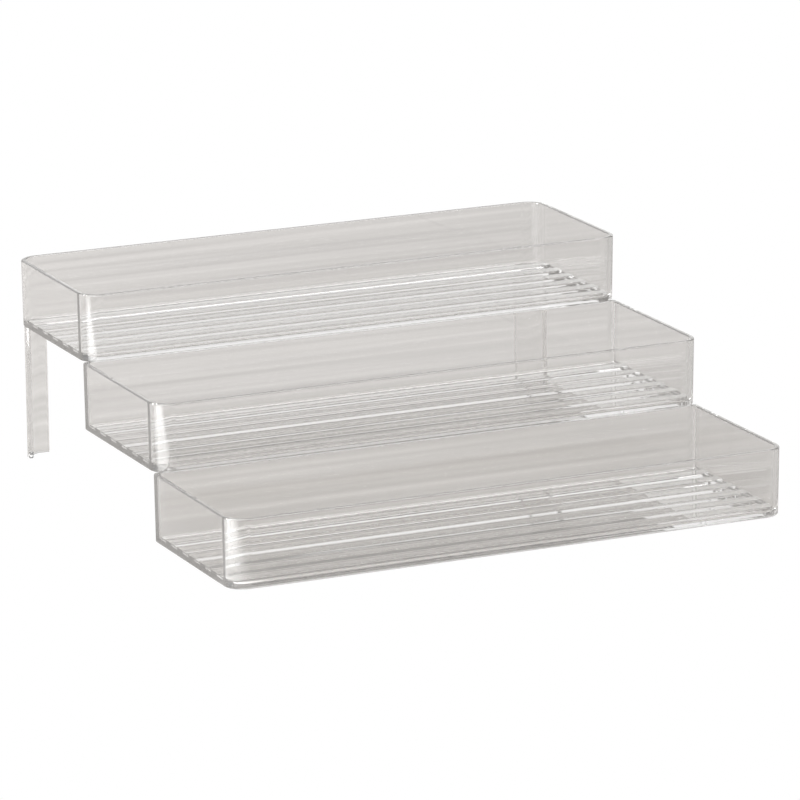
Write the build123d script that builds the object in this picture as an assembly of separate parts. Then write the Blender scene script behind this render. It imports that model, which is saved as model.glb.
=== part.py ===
from build123d import *
from math import radians, tan
import os

# A free-standing stair of three clear moulded trays for cosmetics. Each tray stands on the rear rim of
# the one below it, and two corner legs carry the back of the top tray. Lengths are in millimetres.
# +X is the user's right, +Y runs to the back, +Z is up, and the origin is on the table, under the
# middle of the footprint.

# Trays, from the lowest to the highest
TRAY_NAMES = ["bottom_tray", "middle_tray", "top_tray"]
TRAY_WIDTH = 300.0  # across the rim, side to side
TRAY_DEPTH = 97.0  # across the rim, front to back
TRAY_HEIGHT = 35.0  # from the underside to the rim
OVERLAP = 5.5  # how far a tray's front stands out over the tray below, past the rear of that tray's rim
WALL = 2.6
FLOOR = 2.1
DRAFT = 0.7  # degrees that the walls lean outwards, so that the tray leaves its mould
ROUND_CORNER = 10.5  # the front corners, and the rear corners of the top tray
SQUARE_CORNER = 2.0  # the rear corners that stand under the next tray
SQUARE_CORNER_INSIDE = 3.0
RIM_ROUND = 0.8
UNDERSIDE_ROUND = 1.0
FLOOR_FILLET = 2.0  # inside, where the walls meet the floor

# Ribs across each tray's floor
RIB_PITCH = 14.1
RIB_WIDTH = 7.0
RIB_HEIGHT = 2.0
RIB_ROUND = 0.15
FIRST_RIB = 10.1  # from the front of the rim to the middle of the first rib

# Legs under the rear corners of the top tray
LEG_WALL = 2.6
LEG_INSET = 0.4  # from the edge of the tray's underside to the outer face of the leg
LEG_WIDTH = 14.5  # along the back, from the outer face of the leg
LEG_RETURN = 10.7  # along the side, from the rear face of the leg
LEG_END_ROUND = 0.8
FOOT_ROUND = 0.4

# Sizes that follow from the ones above
LEAN = TRAY_HEIGHT * tan(radians(DRAFT))  # how far the underside's edge stands inside the rim
STEP_BACK = TRAY_DEPTH - OVERLAP  # from one tray's front to the front of the next tray up
STEPS = len(TRAY_NAMES) - 1
FOOTPRINT_DEPTH = STEPS * STEP_BACK + TRAY_DEPTH
FIRST_MIDDLE = (TRAY_DEPTH - FOOTPRINT_DEPTH) / 2  # the middle of the bottom tray, along Y
RIB_ROOM = TRAY_DEPTH - WALL - FLOOR_FILLET - FIRST_RIB - RIB_WIDTH / 2
RIB_COUNT = int(RIB_ROOM // RIB_PITCH) + 1


def cornered_rectangle(width, depth, front_radius, rear_radius):
    """A rectangle with one radius on its two front corners and another on its two rear corners."""
    outline = Rectangle(width, depth)
    outline = fillet(outline.vertices().sort_by(Axis.Y)[:2], front_radius)
    return fillet(outline.vertices().sort_by(Axis.Y)[-2:], rear_radius)


def drafted_block(rim_outline, underside_height):
    """A block that has the outline at the height of the rim and leans inwards on its way down."""
    depth = TRAY_HEIGHT - underside_height
    return extrude(Pos(0, 0, TRAY_HEIGHT) * rim_outline, amount=depth, dir=(0, 0, -1), taper=DRAFT)


def lowest_edges(shape):
    return shape.faces().sort_by(Axis.Z)[0].edges()


def floor_ribs():
    """The ribs as bars from side to side, rooted in the floor, with rounded tops."""
    section = Rectangle(RIB_WIDTH, FLOOR + RIB_HEIGHT, align=(Align.CENTER, Align.MIN))
    section = fillet(section.vertices().sort_by(Axis.Y)[-2:], RIB_ROUND)
    rib = extrude(Plane.YZ * section, amount=TRAY_WIDTH / 2, both=True)
    first = FIRST_RIB - TRAY_DEPTH / 2
    return [Pos(0, first + place * RIB_PITCH, 0) * rib for place in range(RIB_COUNT)]


def tray(rear_corner, rear_corner_inside):
    """One tray with its underside on the ground and its rim centred over the origin."""
    outline = cornered_rectangle(TRAY_WIDTH, TRAY_DEPTH, ROUND_CORNER, rear_corner)
    block = drafted_block(outline, 0)
    block = fillet(lowest_edges(block), UNDERSIDE_ROUND)

    inner_width = TRAY_WIDTH - 2 * WALL
    inner_depth = TRAY_DEPTH - 2 * WALL
    mouth = cornered_rectangle(inner_width, inner_depth, ROUND_CORNER - WALL, rear_corner_inside)
    hollow = drafted_block(mouth, FLOOR)
    hollow = fillet(lowest_edges(hollow), FLOOR_FILLET)
    hollow -= floor_ribs()

    shell = block - hollow
    rim = shell.faces().filter_by(Axis.Z).sort_by(Axis.Z)[-1]
    return fillet(rim.edges(), RIM_ROUND)


def left_leg():
    """A thin post that follows the rounded corner of the tray above it, from the table to the tray."""
    foot_width = TRAY_WIDTH - 2 * (LEAN + LEG_INSET)
    foot_depth = TRAY_DEPTH - 2 * (LEAN + LEG_INSET)
    foot_corner = ROUND_CORNER - LEAN - LEG_INSET
    outer = RectangleRounded(foot_width, foot_depth, foot_corner)
    inner = RectangleRounded(foot_width - 2 * LEG_WALL, foot_depth - 2 * LEG_WALL, foot_corner - LEG_WALL)
    corner = Pos(-foot_width / 2, foot_depth / 2) * Rectangle(
        LEG_WIDTH, LEG_RETURN, align=(Align.MIN, Align.MAX)
    )
    section = (outer - inner) & corner
    back_end = section.vertices().group_by(Axis.X)[-1]
    side_end = section.vertices().group_by(Axis.Y)[0]
    section = fillet(back_end + side_end, LEG_END_ROUND)
    post = extrude(section, amount=STEPS * TRAY_HEIGHT)
    post = fillet(lowest_edges(post), FOOT_ROUND)
    return Pos(0, FIRST_MIDDLE + STEPS * STEP_BACK, 0) * post


square_backed_tray = tray(SQUARE_CORNER, SQUARE_CORNER_INSIDE)
round_backed_tray = tray(ROUND_CORNER, ROUND_CORNER - WALL)

pieces = {}
for step, name in enumerate(TRAY_NAMES):
    shape = round_backed_tray if step == STEPS else square_backed_tray
    pieces[name] = Pos(0, FIRST_MIDDLE + step * STEP_BACK, step * TRAY_HEIGHT) * shape
pieces["left_rear_leg"] = left_leg()
pieces["right_rear_leg"] = mirror(pieces["left_rear_leg"], about=Plane.YZ)

os.makedirs("parts", exist_ok=True)
for name, piece in pieces.items():
    export_step(piece, f"parts/{name}.step")
    size = piece.bounding_box().size
    print(f"{name}: {size.X:.1f} x {size.Y:.1f} x {size.Z:.1f} mm, {piece.volume / 1000:.1f} cm3")
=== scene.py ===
# %% [markdown]
# # A clear three-step tray stair for cosmetics
# The object is a stair of three clear moulded trays, with two thin corner legs under the back of the top
# tray. The solids come from the CAD frame with their true walls, ribs and rounds, so nothing has to be
# modelled again. All the work here is in the look: a clear glossy plastic has hardly a colour of its own,
# and shows what it bends and mirrors. That makes the light around it half of the material.

# %% Load the frame
import math
import bpy
from mathutils import Matrix, Vector

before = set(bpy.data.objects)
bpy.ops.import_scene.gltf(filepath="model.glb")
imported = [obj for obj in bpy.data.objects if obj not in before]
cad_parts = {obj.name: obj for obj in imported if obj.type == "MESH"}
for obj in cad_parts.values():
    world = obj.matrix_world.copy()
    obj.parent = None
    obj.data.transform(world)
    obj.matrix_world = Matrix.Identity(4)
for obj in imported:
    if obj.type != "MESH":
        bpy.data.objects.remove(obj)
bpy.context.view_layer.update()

scene = bpy.context.scene
print("pieces from the frame:", sorted(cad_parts))

# %% [markdown]
# ## The camera
# The photo is taken from the left of the front, a little above the rims, with a long lens from far away,
# so the edges of the trays stay almost parallel. A camera can be turned by hand with three angles, but it
# is easier to aim one from a target point: turn it around the upright axis, tip it down, roll it a
# little, and then back it away from the target along its own view.

# %% Aim the camera
AIM_POINT = Vector((-0.001, -0.0094, 0.0466))
CAMERA_DISTANCE = 2.8
CAMERA_TURN = math.radians(-24.65)
CAMERA_ELEVATION = math.radians(14.69)
CAMERA_ROLL = math.radians(-0.45)
SENSOR_WIDTH = 36.0
FOCAL_LENGTH = 249.5

camera_turn = (
    Matrix.Rotation(CAMERA_TURN, 4, "Z")
    @ Matrix.Rotation(math.pi / 2 - CAMERA_ELEVATION, 4, "X")
    @ Matrix.Rotation(CAMERA_ROLL, 4, "Z")
)
camera_data = bpy.data.cameras.new("photo_camera")
camera_data.sensor_width = SENSOR_WIDTH
camera_data.lens = FOCAL_LENGTH
camera = bpy.data.objects.new("photo_camera", camera_data)
scene.collection.objects.link(camera)
camera_place = AIM_POINT + camera_turn @ Vector((0, 0, CAMERA_DISTANCE))
camera.matrix_world = Matrix.Translation(camera_place) @ camera_turn
scene.camera = camera
print("camera at", [round(value, 3) for value in camera_place])

# %% [markdown]
# ## Writing shader maths as Python
# A material is a graph of nodes. Wiring each Math node by hand is slow to read, so one small class stands
# for a socket, and an expression such as `1 - grain * 0.2` adds the Math nodes that it needs. Every other
# node comes from one method, which takes the type of the node, its settings and what goes into its
# sockets.

# %% The socket class
class Wire:
    """A socket in a node tree that takes part in Python arithmetic."""

    def __init__(self, tree, socket):
        self.tree = tree
        self.socket = socket

    def node(self, node_type, settings=None, inputs=None, output=0):
        """Adds a node, sets its settings, fills its sockets with values or links, and wraps one output."""
        added = self.tree.nodes.new(node_type)
        for name, value in (settings or {}).items():
            if name == "stops":
                set_ramp_stops(added.color_ramp, value)
            else:
                setattr(added, name, value)
        for name, value in (inputs or {}).items():
            if isinstance(value, Wire):
                self.tree.links.new(value.socket, added.inputs[name])
            else:
                added.inputs[name].default_value = value
        return Wire(self.tree, added.outputs[output] if added.outputs else None)

    def maths(self, operation, first, second):
        return self.node("ShaderNodeMath", {"operation": operation}, {0: first, 1: second})

    def __add__(self, other):
        return self.maths("ADD", self, other)

    def __sub__(self, other):
        return self.maths("SUBTRACT", self, other)

    def __rsub__(self, other):
        return self.maths("SUBTRACT", other, self)

    def __mul__(self, other):
        return self.maths("MULTIPLY", self, other)

    def __rmul__(self, other):
        return self.maths("MULTIPLY", other, self)


def set_ramp_stops(ramp, stops):
    """Gives a colour ramp grey stops, from a list of (position, brightness)."""
    while len(ramp.elements) < len(stops):
        ramp.elements.new(1.0)
    for element, (position, brightness) in zip(ramp.elements, stops):
        element.position = position
        element.color = (brightness, brightness, brightness, 1.0)


def empty_graph(owner):
    """Turns on the nodes of a material or world, clears them, and returns a wire to add new ones with."""
    owner.use_nodes = True
    owner.node_tree.nodes.clear()
    return Wire(owner.node_tree, None)


print("shader helper ready")

# %% [markdown]
# ## The clear plastic
# The plastic is clear, hard and glossy. Such mouldings have almost perfect faces, with small signs of how
# they were made: long soft waves where the melt flowed from one end to the other, fine wear, and a tint
# that shows where you look along a wall. A thin "glass" shell with a fixed alpha could fake a window, but
# it can't bend light in the ribs, so the walls here refract for real. The waves are a bump with a faint
# change of colour, the wear is a change in roughness, and the tint is an absorption in the volume, which
# grows with the length of the path through the plastic.

# %% Patterns of the moulded surface
clear_plastic = bpy.data.materials.new("clear_plastic_look")
graph = empty_graph(clear_plastic)
place = graph.node("ShaderNodeTexCoord", output="Object")


def moulded_noise(scale, stretch, detail):
    """Noise in metres that is stretched along the trays, as the melt flowed."""
    stretched = graph.node("ShaderNodeMapping", {}, {"Vector": place, "Scale": (1 / stretch, 1.0, 1.0)})
    return graph.node("ShaderNodeTexNoise", {}, {"Vector": stretched, "Scale": scale, "Detail": detail})


flow_waves = moulded_noise(scale=110.0, stretch=30.0, detail=2.0)
fine_wear = moulded_noise(scale=420.0, stretch=2.5, detail=3.0)
print("surface patterns: flow waves and fine wear")

# %% The plastic's shader
TINT_LIGHT = (0.998, 0.997, 0.995, 1.0)
TINT_DEEP = (0.955, 0.952, 0.948, 1.0)
REFRACTIVE_INDEX = 1.5
WAVE_STRENGTH = 0.03
WAVE_DEPTH = 0.0003
WEAR_ROUGHNESS = 0.012

MIX_FACTOR, MIX_FIRST, MIX_SECOND, MIX_RESULT = 0, 6, 7, 2  # the colour sockets of a Mix node

tint = graph.node(
    "ShaderNodeMix",
    {"data_type": "RGBA"},
    {MIX_FACTOR: flow_waves, MIX_FIRST: TINT_LIGHT, MIX_SECOND: TINT_DEEP},
    output=MIX_RESULT,
)
waves = graph.node(
    "ShaderNodeBump",
    {},
    {"Strength": WAVE_STRENGTH, "Distance": WAVE_DEPTH, "Height": flow_waves},
)
plastic = graph.node(
    "ShaderNodeBsdfPrincipled",
    {},
    {
        "Base Color": tint,
        "Roughness": WEAR_ROUGHNESS * fine_wear,
        "IOR": REFRACTIVE_INDEX,
        "Transmission Weight": 1.0,
        "Normal": waves,
    },
)
print("plastic with a refractive index of", REFRACTIVE_INDEX)

# %% [markdown]
# ## Light through the plastic
# A path tracer finds light that was bent on its way to a matt face only by luck, and the luck shows as
# bright specks. So rays that only ask how much light arrives, which are shadow rays and the rays that
# leave a matt face, go straight through a tinted sheet instead. What the camera sees is still bent and
# mirrored.
#
# Some rays are caught inside a rim or a rib and run along it for a long way. A ray that has bounced more
# than ten times ends in an even grey glow. This is painted light: a fixed emission that stands in for the
# light scattered in a real moulding. The painted grey sets how dark the rims and the ends of the ribs
# look.
# Without it the caught rays gave black lines and noise.

# %% Let light through and end the lost rays
SHADOW_TINT = (0.965, 0.962, 0.957, 1.0)
SCATTER_GLOW_AFTER_BOUNCES = 10.5
PAINTED_SCATTER_GREY = (0.37, 0.36, 0.35, 1.0)

shadow_ray = graph.node("ShaderNodeLightPath", output="Is Shadow Ray")
diffuse_ray = graph.node("ShaderNodeLightPath", output="Is Diffuse Ray")
light_only = graph.maths("MAXIMUM", shadow_ray, diffuse_ray)
sheet = graph.node("ShaderNodeBsdfTransparent", {}, {"Color": SHADOW_TINT})
bounces_so_far = graph.node("ShaderNodeLightPath", output="Ray Depth")
ends_in_painted_glow = graph.maths("GREATER_THAN", bounces_so_far, SCATTER_GLOW_AFTER_BOUNCES)
# Painted light: for lost rays the plastic itself glows an even grey, with no lamp behind it.
painted_scatter_glow = graph.node("ShaderNodeEmission", {}, {"Color": PAINTED_SCATTER_GREY, "Strength": 1.0})
plastic_or_painted_glow = graph.node("ShaderNodeMixShader", {}, {0: ends_in_painted_glow, 1: plastic, 2: painted_scatter_glow})
surface = graph.node("ShaderNodeMixShader", {}, {0: light_only, 1: plastic_or_painted_glow, 2: sheet})
print("lost rays end after", int(SCATTER_GLOW_AFTER_BOUNCES), "bounces")

# %% [markdown]
# ## The tint in the depth, and the pieces
# The volume takes away a little of the light along the path. The limits on bounces lie well above the
# point where the lost rays end, because a ray that is cut off by a limit turns black.

# %% Finish the plastic and give it to every piece
ABSORPTION_COLOUR = (0.16, 0.13, 0.09, 1.0)
ABSORPTION_PER_METRE = 2.0
RAY_BOUNCES = 32

depth_tint = graph.node(
    "ShaderNodeVolumeAbsorption",
    {},
    {"Color": ABSORPTION_COLOUR, "Density": ABSORPTION_PER_METRE},
)
graph.node("ShaderNodeOutputMaterial", {}, {"Surface": surface, "Volume": depth_tint})

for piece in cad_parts.values():
    piece.data.materials.clear()
    piece.data.materials.append(clear_plastic)

scene.cycles.max_bounces = RAY_BOUNCES
scene.cycles.glossy_bounces = RAY_BOUNCES
scene.cycles.transmission_bounces = RAY_BOUNCES
scene.cycles.transparent_max_bounces = RAY_BOUNCES
scene.cycles.caustics_reflective = False
scene.cycles.caustics_refractive = False
print("clear plastic on", len(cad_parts), "pieces")

# %% [markdown]
# ## The table
# The floor is white to the camera's own rays, and a warm grey table to every other ray, so the plastic
# shows the grey. The grey varies in faint streaks along the ribs. These are painted streaks of light, a
# stand-in for the light that ribs gather.

# %% The grey of the table
STREAK_DARK = (0.167, 0.162, 0.157, 1.0)
STREAK_LIGHT = (0.263, 0.256, 0.249, 1.0)
STREAK_SCALE = 80.0  # cells of the noise in a metre, across the ribs
STREAK_STRETCH = 30.0
STREAK_DETAIL = 1.0

table_look = bpy.data.materials.new("pale_table")
table = empty_graph(table_look)
on_table = table.node("ShaderNodeTexCoord", output="Object")
along_ribs = table.node(
    "ShaderNodeMapping",
    {},
    {"Vector": on_table, "Scale": (1 / STREAK_STRETCH, 1.0, 1.0)},
)
# Painted light: lighter and darker streaks of grey where the ribs would gather light on the table.
streaks = table.node(
    "ShaderNodeTexNoise",
    {},
    {"Vector": along_ribs, "Scale": STREAK_SCALE, "Detail": STREAK_DETAIL},
)
table_grey = table.node(
    "ShaderNodeMix",
    {"data_type": "RGBA"},
    {MIX_FACTOR: streaks, MIX_FIRST: STREAK_DARK, MIX_SECOND: STREAK_LIGHT},
    output=MIX_RESULT,
)
grey_table = table.node("ShaderNodeBsdfDiffuse", {}, {"Color": table_grey})
print("table grey with streaks of noise scale", STREAK_SCALE)

# %% [markdown]
# ## The painted glow beside the object
# The upright round corners at the front left show the table beside them. A long soft pool of light is
# painted there as an emission in the table's material. The camera's own rays don't see it, and it draws a
# white highlight line down each corner. It is an ellipse with edges that fade, and its reach is half of
# its length and width.

# %% Lay the glow on the table
WHITE = (1.0, 1.0, 1.0, 1.0)
GLOW_MIDDLE = (-0.36, -0.094, 0.0)
GLOW_TURN = math.radians(159)
GLOW_REACH = (0.27, 0.10, 1.0)
GLOW_EDGE = 0.5  # the part of the reach, from the outside, over which the glow fades in
GLOW_BRIGHTNESS = 5.5

from_glow = table.node(
    "ShaderNodeMapping",
    {"vector_type": "TEXTURE"},
    {
        "Vector": on_table,
        "Location": GLOW_MIDDLE,
        "Rotation": (0.0, 0.0, GLOW_TURN),
        "Scale": GLOW_REACH,
    },
)
inside_glow = table.node(
    "ShaderNodeTexGradient",
    {"gradient_type": "SPHERICAL"},
    {"Vector": from_glow},
    output="Fac",
)
soft_glow = table.node(
    "ShaderNodeMapRange",
    {"interpolation_type": "SMOOTHSTEP"},
    {"Value": inside_glow, "From Min": 0.0, "From Max": GLOW_EDGE},
)
# Painted light: the table itself glows white here, with no lamp.
painted_light_patch = table.node("ShaderNodeEmission", {}, {"Color": WHITE, "Strength": GLOW_BRIGHTNESS})
table_with_painted_light = table.node("ShaderNodeMixShader", {}, {0: soft_glow, 1: grey_table, 2: painted_light_patch})
print("glow around", GLOW_MIDDLE)

# %% [markdown]
# ## The floor
# One large plane is enough. It lies just under the feet, so that no two faces share a plane.

# %% Lay the floor
FLOOR_SIZE = 12.0
FLOOR_DROP = 0.0005

seen_directly = table.node("ShaderNodeLightPath", output="Is Camera Ray")
white_paper = table.node("ShaderNodeEmission", {}, {"Color": WHITE, "Strength": 1.0})
table_surface = table.node("ShaderNodeMixShader", {}, {0: seen_directly, 1: table_with_painted_light, 2: white_paper})
table.node("ShaderNodeOutputMaterial", {}, {"Surface": table_surface})

bpy.ops.mesh.primitive_plane_add(size=FLOOR_SIZE, location=(0, 0, -FLOOR_DROP))
floor = bpy.context.object
floor.name = "floor"
floor.data.materials.append(table_look)
print("floor of", FLOOR_SIZE, "m")

# %% [markdown]
# ## The studio around the object
# Clear plastic is drawn by the edges of what stands around it: here a pale wall behind, a dark gap above
# the wall, a large light overhead and a dark room behind the camera. All of it is one gradient over the
# sky, by the angle around the long axis of the trays: 0 is the foot of the wall behind, 0.5 is overhead
# and 1 is behind the camera. A pale card far to the left and a dim one far to the right are the sides of
# the room.

# %% Paint the surroundings
ROOM_STOPS = [
    (0.00, 0.30),
    (0.14, 0.30),
    (0.20, 0.02),
    (0.36, 0.02),
    (0.42, 0.80),
    (0.72, 0.80),
    (0.80, 0.05),
    (1.00, 0.03),
]
ROOM_BRIGHTNESS = 3.4
LEFT_CARD_BRIGHTNESS = 2.0
RIGHT_CARD_BRIGHTNESS = 0.3
CARD_FROM = 0.62  # how far to the side a card begins and is full, as a part of a unit direction
CARD_TO = 0.80

studio = bpy.data.worlds.new("studio")
scene.world = studio
sky = empty_graph(studio)
direction = sky.node("ShaderNodeTexCoord", output="Generated")
sideways = sky.node("ShaderNodeSeparateXYZ", {}, {"Vector": direction}, output="X")
backwards = sky.node("ShaderNodeSeparateXYZ", {}, {"Vector": direction}, output="Y")
upwards = sky.node("ShaderNodeSeparateXYZ", {}, {"Vector": direction}, output="Z")
around = sky.maths("ARCTAN2", upwards, backwards) * (1 / math.pi)
room = sky.node("ShaderNodeValToRGB", {"stops": ROOM_STOPS}, {"Fac": around})


def side_card(side):
    """A soft mask for the part of the sky that lies far to one side, -1 for left and 1 for right."""
    return sky.node(
        "ShaderNodeMapRange",
        {"interpolation_type": "SMOOTHSTEP"},
        {"Value": sideways * side, "From Min": CARD_FROM, "From Max": CARD_TO},
    )


left_card = side_card(-1)
right_card = side_card(1)
between_cards = room * ROOM_BRIGHTNESS * (1 - left_card - right_card)
strength = between_cards + left_card * LEFT_CARD_BRIGHTNESS + right_card * RIGHT_CARD_BRIGHTNESS
background = sky.node("ShaderNodeBackground", {}, {"Color": WHITE, "Strength": strength})
sky.node("ShaderNodeOutputWorld", {}, {"Surface": background})
scene.view_settings.view_transform = "Standard"
print("surroundings painted with", len(ROOM_STOPS), "stops")

# %% [markdown]
# ## The key light
# One large soft light stands high at the back on the left and is aimed at the object. The camera's own
# rays don't see it.

# %% Place the key softbox
KEY_PLACE = Vector((-1.5, 1.0, 2.2))
KEY_AIM = Vector((0.0, 0.0, 0.05))
KEY_SIZE = 1.0
KEY_WATTS = 180.0

key_data = bpy.data.lights.new("key_softbox", "AREA")
key_data.shape = "SQUARE"
key_data.size = KEY_SIZE
key_data.energy = KEY_WATTS
key_softbox = bpy.data.objects.new("key_softbox", key_data)
scene.collection.objects.link(key_softbox)
key_softbox.location = KEY_PLACE
key_softbox.rotation_euler = (KEY_AIM - KEY_PLACE).to_track_quat("-Z", "Y").to_euler()
key_softbox.visible_camera = False
print("key softbox of", KEY_WATTS, "W")
